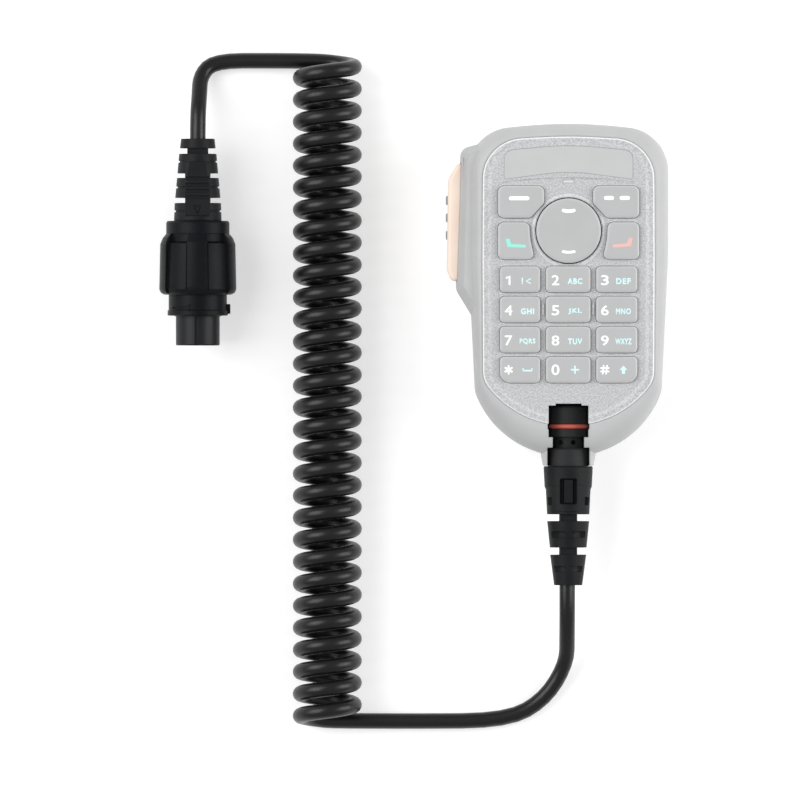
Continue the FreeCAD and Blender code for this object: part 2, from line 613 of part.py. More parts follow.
# ================================================================ cord
def rounded_route(points):
    """Path of straight runs joined by arcs that take up 0.45 of each corner's shorter run."""
    route = [Vector(*point) for point in points]
    edges = []
    radii = []
    start = route[0]
    for before, here, after in zip(route, route[1:], route[2:]):
        back = before - here
        ahead = after - here
        reach = 0.45 * min(back.Length, ahead.Length)
        back.normalize()
        ahead.normalize()
        half = back.getAngle(ahead) / 2
        radius = reach * math.tan(half)
        centre = here + (back + ahead).normalize() * (reach / math.cos(half))
        middle = centre + (here - centre).normalize() * radius
        edges.append(Part.LineSegment(start, here + back * reach).toShape())
        edges.append(Part.Arc(here + back * reach, middle, here + ahead * reach).toShape())
        start = here + ahead * reach
        radii.append(round(radius, 1))
    edges.append(Part.LineSegment(start, route[-1]).toShape())
    return Part.Wire(edges), radii


def cord_lead(name, points):
    path, radii = rounded_route(points)
    way = (Vector(*points[1]) - Vector(*points[0])).normalize()
    section = Part.Wire(Part.makeCircle(CORD_R, Vector(*points[0]), way))
    tube = path.makePipeShell([section], True, False)
    print(name, "radii", radii, "length", round(path.Length, 1),
          "volume share", round(tube.Volume / (math.pi * CORD_R ** 2 * path.Length), 4))
    return tube


def cord_coil():
    """Outer form of the curly length, one plain round bar."""
    return along_y(COIL_R, COIL_X, COIL_R, COIL_START_Y - CORD_R, COIL_END_Y + CORD_R)


# ================================================================ radio plug
def radio_plug_boot():
    """Segmented boot with a ribbed panel front and back."""
    profile = [(23.9, 7.6), (29.5, 7.4), (29.5, 4.0), (31.2, 4.0), (31.2, 7.2), (37.5, 6.65), (37.5, 4.0),
               (39.0, 4.0), (39.0, 6.5), (45.2, 5.95), (45.2, 3.3), (47.0, 3.3), (47.0, 5.7), (50.0, 5.35)]
    boot = turned(profile, RADIO_X, RADIO_Z)
    panel = box(RADIO_X - 3.95, RADIO_X + 3.95, 25.4, 42.6, RADIO_Z - PANEL_Z, RADIO_Z + PANEL_Z)
    neck = box(RADIO_X - 3.3, RADIO_X + 3.3, 42.0, 47.2, RADIO_Z - 4.6, RADIO_Z + 4.6)
    taper = turned([(24.0, 8.9), (30.0, 8.8), (42.2, 8.1), (42.6, 7.7), (50.0, 6.5)], RADIO_X, RADIO_Z)
    boot = fuse([boot, fuse([panel, neck]).common(taper)])
    cuts = [box(RADIO_X - 5, RADIO_X + 5, y, y + 1.1, RADIO_Z + side * 9.6 - 2.6, RADIO_Z + side * 9.6 + 2.6)
            for y in (30.7, 32.7, 34.7, 36.7) for side in (1, -1)]
    cuts += [side_grooves(RADIO_X, RADIO_Z, y, y + 0.6, radius, 0.45, 4.0)
             for y, radius in ((26.6, 7.5), (34.2, 6.9), (42.4, 6.2))]
    cuts.append(keyway_arrow())
    return boot.cut(Part.makeCompound(cuts))


def keyway_arrow():
    """Fine outline of a triangle that points along the keyway."""
    outer, inner = [Part.Face(Part.makePolygon(
        [Vector(RADIO_X + x, 27.2 + y, RADIO_Z + PANEL_Z - 0.3)
         for x, y in ((-half, half), (half, half), (0, -half), (-half, half))])) for half in (1.4, 0.85)]
    return outer.cut(inner).extrude(Vector(0, 0, 1))


def radio_plug_shell():
    """Fixed core of the plug: hollow nose with a keyway, and the barrel that the collar turns on."""
    profile = [(-15.9, 6.8), (-15.6, NOSE_R), (NOSE_END_Y, NOSE_R), (NOSE_END_Y, BARREL_R), (23.8, BARREL_R)]
    shell = turned(profile, RADIO_X, RADIO_Z)
    shell = shell.cut(along_y(5.9, RADIO_X, RADIO_Z, -17.0, -6.0))
    shell = shell.cut(box(RADIO_X - 0.9, RADIO_X - 0.1, -17.0, -6.9, RADIO_Z + 6.5, RADIO_Z + 8))
    shoulder = along_y(8.4, RADIO_X, RADIO_Z, 20.2, 21.6)
    return fuse([shell, shoulder])


def radio_plug_insert():
    insert = along_y(5.85, RADIO_X, RADIO_Z, -12.0, -6.0)
    tunnels = [along_y(0.55, x, z, -13, -5) for x, z in radio_contacts()]
    return insert.cut(Part.makeCompound(tunnels))


def radio_contacts():
    """Ten contacts: a ring of eight and two in the middle."""
    places = list(ring_places(8, 3.9, RADIO_X, RADIO_Z))
    return places + list(ring_places(2, 1.3, RADIO_X, RADIO_Z))


def radio_plug_pins():
    return [along_y(0.5, x, z, -14.2, -6.0) for x, z in radio_contacts()]


def radio_plug_seal():
    """Rubber ring on the nose, inside the collar's mouth."""
    return along_y(8.3, RADIO_X, RADIO_Z, -3.0, -1.2).cut(along_y(BARREL_R, RADIO_X, RADIO_Z, -4.0, 0.0))


def wedge(middle, half, radius, y0, y1):
    """Slice of a round bar about Y, centred on an angle in degrees from +X."""
    points = [Vector(RADIO_X, y0, RADIO_Z)]
    for angle in (middle - half, middle, middle + half):
        turn = math.radians(angle)
        points.append(Vector(RADIO_X + radius * math.cos(turn), y0, RADIO_Z + radius * math.sin(turn)))
    return Part.Face(Part.makePolygon(points + [points[0]])).extrude(Vector(0, y1 - y0, 0))


def radio_plug_collar():
    """Coupling collar that turns on the barrel: top ring, four grip panels, lower bayonet ring."""
    barrel = turned([(-6.4, 9.3), (-6.2, 9.65), (-4.8, 9.65), (-4.6, 9.3), (0.3, 9.3), (0.3, 10.6),
                     (0.9, 11.2), (2.0, 11.5), (16.6, 10.9), (17.2, 9.6), (19.7, 9.6), (19.7, 10.1),
                     (23.2, 10.1), (23.8, 9.7)], RADIO_X, RADIO_Z)
    wings = turned([(0.4, 10.9), (0.9, 11.8), (2.0, 12.3), (16.4, 12.0), (18.4, 11.2), (19.9, 9.9)],
                   RADIO_X, RADIO_Z)
    fingers = turned([(0.6, 10.8), (1.6, 11.75), (2.6, 11.9), (17.0, 11.3), (20.0, 10.1)], RADIO_X, RADIO_Z)
    sides = [wings.common(wedge(angle, 33, 20, -8, 30)) for angle in (0, 180)]
    fronts = [fingers.common(wedge(angle, 16.5, 20, -8, 30)) for angle in (90, 270)]
    lugs = [along_y(10.4, RADIO_X, RADIO_Z, -5.8, -2.7).common(wedge(angle, 6, 20, -8, 0))
            for angle in (0, 230, 310)]
    collar = fuse([barrel] + sides + fronts + lugs)
    bore = [along_y(BARREL_R + 0.06, RADIO_X, RADIO_Z, -8.0, 25.0),
            along_y(8.5, RADIO_X, RADIO_Z, 20.0, 25.0), along_y(8.5, RADIO_X, RADIO_Z, -8.0, 0.2)]
    return collar.cut(Part.makeCompound(bore)).cut(Part.makeCompound([bayonet_mark()] + panel_lines()))


def panel_lines():
    """Fine grooves along both sides of the front and back grip panels."""
    core = turned([(0.0, 11.25), (18.0, 10.45)], RADIO_X, RADIO_Z)
    return [wedge(angle + side * 17.3, 0.8, 20, 1.6, 16.4).cut(core) for angle in (90, 270) for side in (1, -1)]


def bayonet_mark():
    """Shallow L-shaped groove round the front left of the bayonet ring."""
    band = along_y(12.0, RADIO_X, RADIO_Z, -5.2, -2.6).cut(along_y(9.0, RADIO_X, RADIO_Z, -6.0, -2.0))
    long_leg = box(RADIO_X - 7.8, RADIO_X - 2.0, -4.2, -3.6, RADIO_Z, RADIO_Z + 12)
    short_leg = box(RADIO_X - 2.6, RADIO_X - 2.0, -4.9, -3.0, RADIO_Z, RADIO_Z + 12)
    return band.common(long_leg.fuse(short_leg))


def radio_plug_circlip():
    """Open spring ring that keeps the collar on the barrel."""
    ring = along_y(8.3, RADIO_X, RADIO_Z, -0.8, 0.0).cut(along_y(BARREL_R, RADIO_X, RADIO_Z, -2.0, 1.0))
    return ring.cut(box(RADIO_X - 1.5, RADIO_X + 1.5, -2, 1, RADIO_Z - 10, RADIO_Z))


# ================================================================ the whole
def main():
    os.makedirs("parts", exist_ok=True)
    write("front_shell", front_shell())
    write("rear_shell", rear_shell())
    write("shell_gasket", gasket_ring(SEAM))
    write("face_plate", face_plate())
    write("label_plate", label_plate())
    for name, outline in key_outlines().items():
        write(name, push_key(outline))
    write("nav_disc", nav_disc())
    write("nav_pivot", nav_pivot())
    write("keypad_mat", keypad_mat())
    write("keypad_board", keypad_board())
    write("dome_switches", dome_switches())
    write("board_chips", board_chips())
    boot, capsule, mesh = mic_parts()
    write("mic_boot", boot)
    write("mic_capsule", capsule)
    write("mic_mesh", mesh)
    write("board_screws", screws(BOARD_SCREWS, 2.0, 1.0, BOARD_Z - 1.5, BOARD_Z, 22.6))
    write("shell_screws", screws(SHELL_SCREWS, 2.7, 1.4, 0.7, 3.0, 22.0))
    write("hang_up_stud", hang_up_stud())
    write("stud_screw", stud_screw())
    write("ptt_button", ptt_button())
    write("ptt_grip_ribs", ptt_grip_ribs())
    write("ptt_seal", ptt_seal())
    write("ptt_switch", ptt_switch())
    write("socket_body", socket_body())
    write("socket_nut", socket_nut())
    write("socket_pins", socket_pins())
    write("socket_ribbon", socket_ribbon())
    write("mic_plug_body", mic_plug_body())
    write("mic_plug_ring", mic_plug_ring())
    write("mic_plug_contacts", mic_plug_contacts())
    write("mic_plug_grip", mic_plug_grip())
    write("cord_lead_mic", cord_lead("cord_lead_mic", LEAD_MIC))
    write("cord_coil", cord_coil())
    write("cord_lead_radio", cord_lead("cord_lead_radio", LEAD_RADIO))
    write("radio_plug_boot", radio_plug_boot())
    write("radio_plug_shell", radio_plug_shell())
    write("radio_plug_insert", radio_plug_insert())
    write("radio_plug_pins", radio_plug_pins())
    write("radio_plug_seal", radio_plug_seal())
    write("radio_plug_collar", radio_plug_collar())
    write("radio_plug_circlip", radio_plug_circlip())


main()
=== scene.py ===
import json
import math

import bmesh
import bpy
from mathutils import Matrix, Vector


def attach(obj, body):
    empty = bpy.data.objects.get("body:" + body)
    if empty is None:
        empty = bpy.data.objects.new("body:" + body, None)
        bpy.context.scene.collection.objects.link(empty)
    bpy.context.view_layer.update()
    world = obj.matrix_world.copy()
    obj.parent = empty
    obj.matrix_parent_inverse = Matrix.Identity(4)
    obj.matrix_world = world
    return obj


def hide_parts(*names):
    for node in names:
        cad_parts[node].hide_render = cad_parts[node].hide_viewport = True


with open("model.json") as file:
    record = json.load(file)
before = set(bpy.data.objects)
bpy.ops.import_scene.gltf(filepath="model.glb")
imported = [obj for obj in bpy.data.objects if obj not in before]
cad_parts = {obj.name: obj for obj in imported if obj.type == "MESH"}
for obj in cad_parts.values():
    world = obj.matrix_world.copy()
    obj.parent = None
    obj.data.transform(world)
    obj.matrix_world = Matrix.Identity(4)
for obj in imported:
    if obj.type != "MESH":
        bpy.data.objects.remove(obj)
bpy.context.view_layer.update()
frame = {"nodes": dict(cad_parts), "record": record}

# Dimensions in this script are in millimetres and are multiplied by MM where Blender takes metres.
MM = 0.001
NODES = frame["nodes"]


# ================================================================ camera
PICTURE_WIDTH = 256                         # what the picture spans, edge to edge
CAMERA_X, CAMERA_Y = -53.6, -33.3
CAMERA_HEIGHT = 4000                        # far away, so that nothing leans


def make_camera():
    """Looks straight down on the laid-out set."""
    data = bpy.data.cameras.new("camera")
    data.sensor_width = 36.0
    data.lens = data.sensor_width * CAMERA_HEIGHT / PICTURE_WIDTH
    data.clip_end = 50.0
    data.dof.use_dof = False
    camera = bpy.data.objects.new("camera", data)
    camera.location = Vector((CAMERA_X, CAMERA_Y, CAMERA_HEIGHT)) * MM
    bpy.context.scene.collection.objects.link(camera)
    bpy.context.scene.camera = camera


# ================================================================ cord
CORD_R = 2.5
COIL_X, COIL_Z = -76.8, 11.05               # the coil's axis runs along Y
COIL_MIDDLE_R = 8.55                        # from that axis to the middle of the cord
COIL_TURNS, COIL_PITCH = 30, 7.02
COIL_START_Y = -135.8

# Control points of the two leads: from the handset's plug down onto the floor and left to the coil,
# and from the coil's far end left and up into the radio plug's boot.
MIC_LEAD = [(-0.3, -92.3, 16.0), (-0.3, -99.5, 16.0), (-0.3, -108.4, 12.0), (-0.3, -117.4, 5.0),
            (-7.2, -129.0, 2.5), (-19.2, -135.8, 2.5), (-49.0, -136.0, 2.5), (-70.0, -135.9, 2.5)]
RADIO_LEAD = [(-82.0, 75.1, 2.5), (-94.5, 75.2, 2.5), (-112.8, 75.2, 2.5), (-117.4, 70.6, 4.0),
              (-117.7, 63.8, 8.6), (-118.1, 57.2, 12.4), (-118.1, 50.0, 12.4)]


def helix(steps=16):
    """Control points of the curly length; they lie a little outside its curve."""
    radius = COIL_MIDDLE_R / ((1 + math.cos(math.pi / steps) ** 2) / 2)
    for i in range(COIL_TURNS * steps + 1):
        turn = 2 * math.pi * i / steps - math.pi / 2
        yield (COIL_X - radius * math.cos(turn),
               COIL_START_Y + COIL_PITCH * i / steps,
               COIL_Z + radius * math.sin(turn))


def make_cord():
    """The whole cord as one smooth round curve, from plug to plug."""
    points = MIC_LEAD + list(helix()) + RADIO_LEAD
    data = bpy.data.curves.new("cord", "CURVE")
    data.dimensions = "3D"
    spline = data.splines.new("NURBS")
    spline.points.add(len(points) - 1)
    for point, place in zip(spline.points, points):
        point.co = (*(Vector(place) * MM), 1.0)
        point.radius = CORD_R * MM
    spline.order_u = 3
    spline.use_endpoint_u = True
    spline.resolution_u = 4
    data.bevel_depth = 1.0                  # times each point's radius: keeps the curve's box true
    data.bevel_resolution = 6
    data.use_fill_caps = True
    cord = bpy.data.objects.new("cord", data)
    bpy.context.scene.collection.objects.link(cord)
    return cord


def declare_cord(cord):
    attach(cord, "handset")
    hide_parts("cord_lead_mic", "cord_coil", "cord_lead_radio")


make_camera()
cord = make_cord()
declare_cord(cord)


# ================================================================ shader helpers
MOTTLE_SIZE = 9.0                           # of the broad patches of slightly different colour


def new_material(name):
    material = bpy.data.materials.new(name)
    material.use_nodes = True
    nodes = material.node_tree.nodes
    shader = nodes["Principled BSDF"]
    return material, nodes, material.node_tree.links, shader


def surface_noise(nodes, links, size, detail=4.0):
    """Noise with grains of a given size, fixed to the object, so that it moves with its piece."""
    place = nodes.new("ShaderNodeTexCoord")
    noise = nodes.new("ShaderNodeTexNoise")
    noise.inputs["Scale"].default_value = 1 / (size * MM)
    noise.inputs["Detail"].default_value = detail
    links.new(place.outputs["Object"], noise.inputs["Vector"])
    return noise.outputs["Fac"]


def ramp(nodes, links, source, low, high, dark, light):
    """Colour or grey that runs from dark to light as the source goes from low to high."""
    band = nodes.new("ShaderNodeValToRGB")
    band.color_ramp.elements[0].position = low
    band.color_ramp.elements[1].position = high
    band.color_ramp.elements[0].color = (*dark, 1.0)
    band.color_ramp.elements[1].color = (*light, 1.0)
    links.new(source, band.inputs["Fac"])
    return band.outputs["Color"]


def relief(nodes, links, shader, height, depth, edge):
    """Bump of a given depth over edges that are softened by a given radius."""
    bump = nodes.new("ShaderNodeBump")
    bump.inputs["Distance"].default_value = depth * MM
    links.new(height, bump.inputs["Height"])
    if edge:
        soft = nodes.new("ShaderNodeBevel")
        soft.samples = 4
        soft.inputs["Radius"].default_value = edge * MM
        links.new(soft.outputs["Normal"], bump.inputs["Normal"])
    links.new(bump.outputs["Normal"], shader.inputs["Normal"])


def shaded(colour, share):
    return tuple(min(1.0, channel * share) for channel in colour)


def painted_slope_highlight(nodes, links, flat, highlight_colour, start, full):
    """Painted highlight: mixes two colours by how far the surface leans away from level.

    The mix starts where the normal's upward part falls below start and is complete at full.
    """
    form = nodes.new("ShaderNodeNewGeometry")
    upright = nodes.new("ShaderNodeSeparateXYZ")
    links.new(form.outputs["Normal"], upright.inputs["Vector"])
    slope = ramp(nodes, links, upright.outputs["Z"], full, start, (1, 1, 1), (0, 0, 0))
    mix = nodes.new("ShaderNodeMix")
    mix.data_type = "RGBA"
    links.new(slope, mix.inputs["Factor"])
    links.new(flat, mix.inputs["A"])
    links.new(highlight_colour, mix.inputs["B"])
    return mix.outputs["Result"]


def moulded(name, colour, roughness, grain=0.25, depth=0.01, vary=0.06, specular=0.5, edge=0.15,
            slope_highlight=1.0):
    """Moulded plastic or rubber: fine grain, slight mottling in colour and gloss.

    grain and depth are the size and height of the surface grain, vary the share by which the colour
    changes, edge the softened radius of the edges, and the last argument how much lighter the
    leaning surfaces are painted: a painted highlight, not a colour of the plastic.
    """
    material, nodes, links, shader = new_material(name)
    fine = surface_noise(nodes, links, grain)
    broad = surface_noise(nodes, links, MOTTLE_SIZE, detail=3.0)
    tint = ramp(nodes, links, broad, 0.3, 0.7, shaded(colour, 1 - vary), shaded(colour, 1 + vary))
    # painted highlight: leaning surfaces take a lighter copy of the colour
    if slope_highlight != 1.0:
        highlight_tint = ramp(nodes, links, broad, 0.3, 0.7, shaded(colour, slope_highlight), shaded(colour, slope_highlight * 1.05))
        tint = painted_slope_highlight(nodes, links, tint, highlight_tint, start=0.98, full=0.75)
    links.new(tint, shader.inputs["Base Color"])
    gloss = ramp(nodes, links, fine, 0.35, 0.65, (roughness - 0.06,) * 3, (roughness + 0.06,) * 3)
    links.new(gloss, shader.inputs["Roughness"])
    shader.inputs["Specular IOR Level"].default_value = specular
    relief(nodes, links, shader, fine, depth, edge)
    return material


def speckled(name, colour, spark, rim_highlight):
    """Sandy texture with silver specks, and a painted highlight where the surface leans."""
    material, nodes, links, shader = new_material(name)
    grains = surface_noise(nodes, links, 0.5, detail=6.0)
    base = ramp(nodes, links, grains, 0.38, 0.62, colour, spark)
    # painted highlight: a light colour on the plate's rim and leaning surfaces
    painted_highlight = ramp(nodes, links, grains, 0.35, 0.60, shaded(rim_highlight, 0.85), rim_highlight)
    tint = painted_slope_highlight(nodes, links, base, painted_highlight, start=0.99, full=0.80)
    links.new(tint, shader.inputs["Base Color"])
    shader.inputs["Roughness"].default_value = 0.42
    relief(nodes, links, shader, grains, depth=0.10, edge=0.2)
    return material


def metal(name, colour, roughness):
    material, nodes, links, shader = new_material(name)
    fine = surface_noise(nodes, links, 0.5)
    tint = ramp(nodes, links, fine, 0.3, 0.7, shaded(colour, 0.85), shaded(colour, 1.05))
    links.new(tint, shader.inputs["Base Color"])
    shader.inputs["Metallic"].default_value = 1.0
    gloss = ramp(nodes, links, fine, 0.3, 0.7, (roughness - 0.08,) * 3, (roughness + 0.08,) * 3)
    links.new(gloss, shader.inputs["Roughness"])
    return material


def ink(name, colour):
    return moulded(name, colour, 0.6, grain=0.2, depth=0.004, vary=0.02, edge=0.0)


# ================================================================ materials
def handset_materials():
    return {
        "shell_plastic": moulded("shell", (0.46, 0.462, 0.465), 0.50, grain=0.20, depth=0.010, vary=0.02,
                                 edge=0.8),
        # the face's last colour is a painted highlight along the plate's rim and on its leaning surfaces
        "face_plastic": speckled("face", (0.375, 0.378, 0.388), (0.55, 0.555, 0.57), (0.88, 0.885, 0.90)),
        "label_plastic": moulded("label", (0.48, 0.482, 0.485), 0.45, grain=0.35, depth=0.02, vary=0.02),
        # the keys' leaning edges are painted lighter: a painted highlight that offsets their shade
        "key_plastic": moulded("keys", (0.43, 0.432, 0.436), 0.45, grain=0.30, depth=0.006, vary=0.02,
                               edge=0.3, slope_highlight=1.2),
        "ptt_plastic": moulded("ptt", (0.88, 0.72, 0.61), 0.55, grain=0.20, depth=0.012, vary=0.03),
        "dark_rubber": moulded("dark_rubber", (0.27, 0.28, 0.33), 0.6),
        "mesh_cloth": moulded("mesh", (0.62, 0.62, 0.62), 0.8, grain=0.12, depth=0.03),
    }


def inner_materials():
    return {
        "silicone": moulded("silicone", (0.5, 0.5, 0.5), 0.5),
        "board": moulded("board", (0.04, 0.16, 0.07), 0.35),
        "chip_plastic": moulded("chips", (0.02, 0.02, 0.02), 0.45),
        "steel": metal("steel", (0.60, 0.60, 0.61), 0.30),
        "pivot_plastic": moulded("nylon", (0.75, 0.75, 0.73), 0.5),
        "contact_metal": metal("gold", (0.83, 0.62, 0.25), 0.25),
        "ribbon": moulded("ribbon", (0.45, 0.22, 0.05), 0.4),
    }


def cord_set_materials():
    return {
        "plug_plastic": moulded("plug", (0.004, 0.0045, 0.006), 0.38, grain=0.30, depth=0.07, vary=0.3,
                                specular=0.10, edge=0.25),
        "boot_rubber": moulded("boot", (0.006, 0.0065, 0.0075), 0.50, grain=0.35, depth=0.08, vary=0.3,
                               specular=0.17, edge=0.25),
        "ring_rubber": moulded("red_ring", (0.56, 0.10, 0.07), 0.40, grain=0.4, depth=0.01, vary=0.15),
        "cord_jacket": moulded("jacket", (0.004, 0.004, 0.0042), 0.34, grain=0.5, depth=0.008, vary=0.12,
                               specular=0.36, edge=0.0),
    }


def ink_materials():
    return {
        "legend_white": ink("white_ink", (0.97, 0.97, 0.97)),
        "legend_cyan": ink("cyan_ink", (0.60, 0.85, 0.85)),
        "legend_green": ink("green_ink", (0.29, 0.74, 0.62)),
        "legend_red": ink("red_ink", (0.74, 0.45, 0.42)),
    }


def plug_finishes():
    """The bodies of the two plugs have a finish of their own."""
    return {
        "mic_plug_body": moulded("plug_matte", (0.016, 0.0165, 0.0175), 0.55, grain=0.30, depth=0.08,
                                 vary=0.3, specular=0.22, edge=0.25),
        "radio_plug_shell": moulded("plug_polished", (0.006, 0.0065, 0.008), 0.42, grain=0.30, depth=0.02,
                                    vary=0.2, specular=0.22, edge=0.2),
    }


def dress_nodes(materials):
    """Each node takes its own finish, or else the material of its slot in the record."""
    slots = {row["node"]: row["material_slot"] for row in frame["record"]["subparts"]}
    finishes = plug_finishes()
    for name, node in NODES.items():
        node.data.materials.clear()
        node.data.materials.append(finishes.get(name, materials[slots[name]]))
    cord.data.materials.append(materials["cord_jacket"])


# ================================================================ printed marks
KEY_TOP = 28.0
ROCKER_TOP = 28.3
INK = 0.03                                  # the ink stands this far above its key
HAIR = 0.0005                               # overlapping strokes differ by this much in height
COLUMN_DIGIT_X = (-19.1, -4.2, 11.5)
COLUMN_LETTERS_X = (-13.1, 2.0, 17.4)
DIGIT_DOWN, LETTERS_DOWN = 0.28, 0.58       # how far the marks sit below their key's middle
FIRST_ROW_Y, ROW_PITCH = 5.05, 9.58
DIGIT_HEIGHT, DIGIT_WIDTH, DIGIT_WEIGHT = 3.2, 2.45, 0.014
ZERO_HEIGHT, ZERO_WIDTH = 3.4, 2.6
LETTER_HEIGHT, LETTER_WEIGHT, LETTER_SPACING = 1.95, 0.045, 1.15
STROKE_COPIES = 8                           # shifted copies of a letter that thicken its strokes
DIGITS = ("123", "456", "789")
# the word beside each digit, with its width
LETTERS = ((("!<", 3.3), ("ABC", 4.7), ("DEF", 4.7)),
           (("GHI", 4.3), ("JKL", 4.4), ("MNO", 4.8)),
           (("PQRS", 5.1), ("TUV", 4.6), ("WXYZ", 5.2)))


def text_mesh(text):
    """Letters of the built-in typeface, one unit thick."""
    curve = bpy.data.curves.new("text", "FONT")
    curve.body = text
    curve.extrude = 0.5
    curve.space_character = LETTER_SPACING
    curve.resolution_u = 3
    holder = bpy.data.objects.new("text", curve)
    mesh = bpy.data.meshes.new_from_object(holder)
    bpy.data.objects.remove(holder)
    bpy.data.curves.remove(curve)
    return mesh


def text_into(bm, text, x, y, height, width, weight):
    """Adds a word centred on x, y. Its shifted copies are each a hair higher than the last."""
    mesh = text_mesh(text)
    places = [v.co.copy() for v in mesh.vertices]
    low = Vector(min(place[i] for place in places) for i in range(2))
    high = Vector(max(place[i] for place in places) for i in range(2))
    tall = height / (high.y - low.y + 2 * weight)
    wide = width / (high.x - low.x + 2 * weight)
    for k in range(STROKE_COPIES):
        turn = 2 * math.pi * k / STROKE_COPIES
        thickness = INK + k * HAIR
        for v, place in zip(mesh.vertices, places):
            across = (place.x - (low.x + high.x) / 2 + weight * math.cos(turn)) * wide
            along = (place.y - (low.y + high.y) / 2 + weight * math.sin(turn)) * tall
            v.co = Vector((x + across, y + along, KEY_TOP + (place.z + 0.5) * thickness)) * MM
        bm.from_mesh(mesh)
    bpy.data.meshes.remove(mesh)


def corners(bm, outline, z):
    return [bm.verts.new(Vector((x, y, z)) * MM) for x, y in outline]


def slab_into(bm, outline, top=KEY_TOP):
    """Adds a thin plate of any outline, a hair higher than the plate before it."""
    lift = INK + HAIR * len(bm.faces)
    low = corners(bm, outline, top - INK)
    high = corners(bm, outline, top + lift)
    bm.faces.new(high)
    bm.faces.new(reversed(low))
    for i in range(len(outline)):
        j = (i + 1) % len(outline)
        bm.faces.new((low[i], low[j], high[j], high[i]))


def pill(line, half, steps=6):
    """Outline of a stroke with round ends along a line of points."""
    points = [Vector(place) for place in line]
    outline = []
    for run in (points, points[::-1]):
        for i, point in enumerate(run):
            ahead = (run[min(i + 1, len(run) - 1)] - run[max(i - 1, 0)]).normalized()
            outline.append(point + Vector((ahead.y, -ahead.x)) * half)
        start = math.atan2(-ahead.x, ahead.y)
        for k in range(1, steps):
            turn = start + math.pi * k / steps
            outline.append(run[-1] + Vector((math.cos(turn), math.sin(turn))) * half)
    return [tuple(point) for point in outline]


def print_on(name, body, slot, materials, draw):
    """One printed mark: draw fills the mesh, and the mark rides on its key."""
    bm = bmesh.new()
    draw(bm)
    bmesh.ops.recalc_face_normals(bm, faces=bm.faces)
    mesh = bpy.data.meshes.new(name)
    bm.to_mesh(mesh)
    bm.free()
    mesh.materials.append(materials[slot])
    mark = bpy.data.objects.new(name, mesh)
    bpy.context.scene.collection.objects.link(mark)
    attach(mark, body)


def print_digit_keys(materials):
    for row in range(3):
        for column in range(3):
            digit = DIGITS[row][column]
            word, width = LETTERS[row][column]
            y = FIRST_ROW_Y - ROW_PITCH * row
            key = "key_" + digit
            print_on("digit_" + digit, key, "legend_white", materials,
                     lambda bm: draw_digit(bm, digit, COLUMN_DIGIT_X[column], y - DIGIT_DOWN))
            print_on("letters_" + digit, key, "legend_cyan", materials,
                     lambda bm: draw_letters(bm, word, COLUMN_LETTERS_X[column], y - LETTERS_DOWN, width))


def draw_digit(bm, digit, x, y):
    """The 1 is narrower than the other digits, so it is drawn by strokes."""
    if digit == "1":
        slab_into(bm, pill([(x - 0.6, y + 0.75), (x + 0.3, y + 1.3), (x + 0.3, y - 1.3)], 0.32))
    else:
        text_into(bm, digit, x, y, DIGIT_HEIGHT, DIGIT_WIDTH, DIGIT_WEIGHT)


def draw_letters(bm, word, x, y, width):
    """Key 1 has an exclamation mark and a bracket in place of letters, drawn by strokes."""
    if word == "!<":
        slab_into(bm, pill([(x - 1.65, y + 0.95), (x - 1.65, y - 0.15)], 0.22))
        slab_into(bm, pill([(x - 1.65, y - 0.70), (x - 1.65, y - 0.75)], 0.24))
        slab_into(bm, pill([(x + 0.9, y + 0.7), (x - 0.4, y), (x + 0.9, y - 0.7)], 0.2))
    else:
        text_into(bm, word, x, y, LETTER_HEIGHT, width, LETTER_WEIGHT)


def draw_zero(bm, x, y):
    text_into(bm, "0", x, y, ZERO_HEIGHT, ZERO_WIDTH, DIGIT_WEIGHT)


def draw_star(bm, x, y):
    for angle in (30, 90, 150):
        reach = Vector((math.cos(math.radians(angle)), math.sin(math.radians(angle)))) * 1.2
        slab_into(bm, pill([(x - reach.x, y - reach.y), (x + reach.x, y + reach.y)], 0.3))


def draw_hash(bm, x, y):
    for across in (-0.55, 0.55):
        slab_into(bm, pill([(x + across - 0.15, y - 1.3), (x + across + 0.15, y + 1.3)], 0.24))
        slab_into(bm, pill([(x - 1.25, y + across), (x + 1.25, y + across)], 0.24))


def draw_plus(bm, x, y):
    slab_into(bm, pill([(x - 1.1, y), (x + 1.1, y)], 0.25))
    slab_into(bm, pill([(x, y - 1.1), (x, y + 1.1)], 0.25))


def draw_space(bm, x, y):
    half_wide, half_tall = 1.4, 0.3
    slab_into(bm, pill([(x - half_wide, y + half_tall), (x - half_wide, y - half_tall),
                        (x + half_wide, y - half_tall), (x + half_wide, y + half_tall)], 0.24))


def draw_arrow(bm, x, y):
    slab_into(bm, [(x - 0.5, y - 1.3), (x + 0.5, y - 1.3), (x + 0.5, y - 0.05), (x + 1.25, y - 0.05),
                   (x, y + 1.3), (x - 1.25, y - 0.05), (x - 0.5, y - 0.05)])


def print_last_row(materials):
    """Star, zero and hash, each with a small mark beside it."""
    y = FIRST_ROW_Y - ROW_PITCH * 3
    whites = (("mark_star", draw_star, "key_star", 0), ("mark_hash", draw_hash, "key_hash", 2),
              ("digit_0", draw_zero, "key_0", 1))
    for name, draw, key, column in whites:
        print_on(name, key, "legend_white", materials,
                 lambda bm: draw(bm, COLUMN_DIGIT_X[column], y))
    cyans = (("mark_space", draw_space, "key_star"), ("mark_plus", draw_plus, "key_0"),
             ("mark_arrow", draw_arrow, "key_hash"))
    for column, (name, draw, key) in enumerate(cyans):
        print_on(name, key, "legend_cyan", materials,
                 lambda bm: draw(bm, COLUMN_LETTERS_X[column], y))


def print_soft_keys(materials):
    """One long bar on the left soft key, two short ones on the right."""
    half_thick = 0.62
    bars = {"left": ((-18.4, -13.1, 30.8),),
            "right": ((11.8, 13.8, 30.9), (16.8, 18.9, 30.9))}

    def draw_bars(bm, side):
        for left, right, y in bars[side]:
            slab_into(bm, pill([(left, y), (right, y)], half_thick))

    for side in bars:
        print_on("mark_soft_" + side, "soft_key_" + side, "legend_white", materials,
                 lambda bm: draw_bars(bm, side))


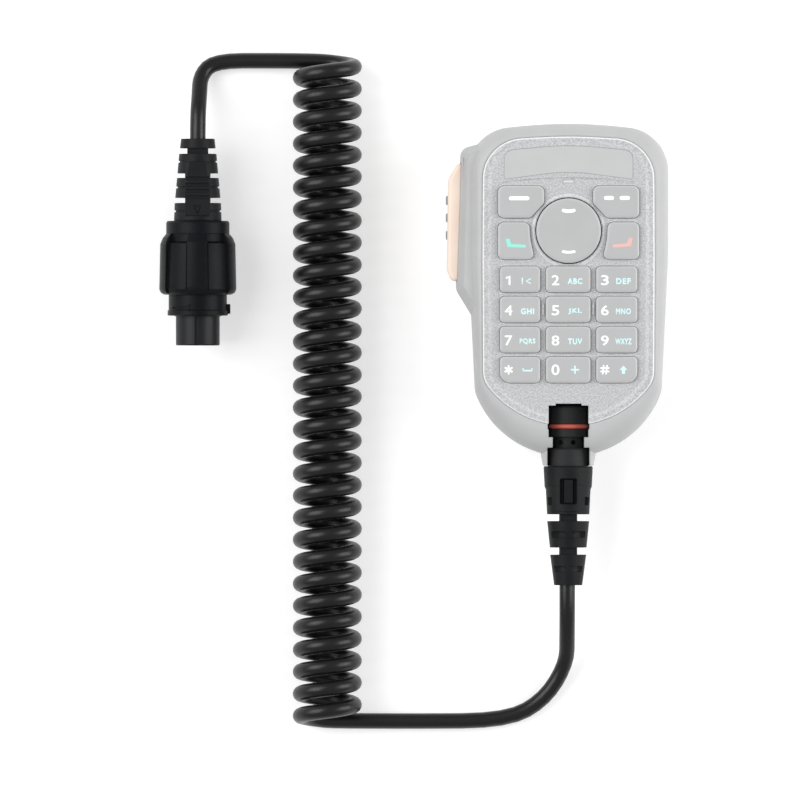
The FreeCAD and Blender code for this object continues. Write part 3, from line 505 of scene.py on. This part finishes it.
def print_call_keys(materials):
    """A hook each on the call key and the end key."""
    call = [(-20.1, 17.9), (-18.8, 18.0), (-18.3, 16.3), (-13.6, 16.0), (-13.7, 15.1), (-19.4, 15.3)]
    end = [(20.4, 18.2), (19.0, 18.2), (18.5, 16.5), (14.0, 16.1), (14.0, 15.1), (19.8, 15.5)]
    print_on("mark_call", "call_key", "legend_green", materials, lambda bm: slab_into(bm, call))
    print_on("mark_end", "end_key", "legend_red", materials, lambda bm: slab_into(bm, end))


def print_rocker(materials):
    """Two curved strokes near the top and bottom of the rocker."""
    bend_radius, half_thick = 6.0, 0.55
    angles = [math.radians(angle) for angle in range(-106, -73, 4)]
    for name, lowest_y in (("mark_up", 26.7), ("mark_down", 13.5)):
        line = [(bend_radius * math.cos(a), lowest_y + bend_radius * (1 + math.sin(a))) for a in angles]
        print_on(name, "nav_rocker", "legend_white", materials,
                 lambda bm: slab_into(bm, pill(line, half_thick), ROCKER_TOP))


# ================================================================ stage and light
WHITE = (1.0, 1.0, 1.0, 1.0)
FLOOR_SIZE = 12000
FLOOR_Z = -0.2                              # just under the lowest part of the cord
FLOOR_GREY = 0.66
FLOOR_GLOW = 0.45                           # a light table: keeps the shadows faint
SKY_STRENGTH = 0.52
LIGHT_AIM = (-0.05, -0.03, 0.0)             # metres, like the places and sizes of the lights


def add_light(name, place, size, power):
    """Rectangular soft box that points at the middle of the set."""
    data = bpy.data.lights.new(name, "AREA")
    data.shape = "RECTANGLE"
    data.size, data.size_y = size
    data.energy = power
    light = bpy.data.objects.new(name, data)
    light.location = place
    direction = Vector(LIGHT_AIM) - Vector(place)
    light.rotation_euler = direction.to_track_quat("-Z", "Y").to_euler()
    bpy.context.scene.collection.objects.link(light)


def make_floor():
    bpy.ops.mesh.primitive_plane_add(size=FLOOR_SIZE * MM, location=(0, 0, FLOOR_Z * MM))
    floor = bpy.context.object
    floor.name = "floor"
    material, _, _, shader = new_material("floor")
    shader.inputs["Base Color"].default_value = (FLOOR_GREY, FLOOR_GREY, FLOOR_GREY, 1.0)
    shader.inputs["Roughness"].default_value = 0.9
    shader.inputs["Specular IOR Level"].default_value = 0.1
    shader.inputs["Emission Color"].default_value = WHITE
    shader.inputs["Emission Strength"].default_value = FLOOR_GLOW
    floor.data.materials.append(material)


def make_light():
    """Bright even surroundings and two large soft boxes that draw the soft highlights on the cord."""
    world = bpy.data.worlds.new("studio")
    world.use_nodes = True
    world.node_tree.nodes["Background"].inputs["Color"].default_value = WHITE
    world.node_tree.nodes["Background"].inputs["Strength"].default_value = SKY_STRENGTH
    bpy.context.scene.world = world
    add_light("left box", place=(-1.3, 0.3, 1.35), size=(1.5, 1.5), power=27.0)
    add_light("right box", place=(1.65, 0.2, 0.95), size=(1.3, 1.5), power=25.0)
    bpy.context.scene.view_settings.view_transform = "Standard"


MATERIALS = {**handset_materials(), **inner_materials(), **cord_set_materials(), **ink_materials()}
dress_nodes(MATERIALS)
print_digit_keys(MATERIALS)
print_last_row(MATERIALS)
print_soft_keys(MATERIALS)
print_call_keys(MATERIALS)
print_rocker(MATERIALS)
make_floor()
make_light()
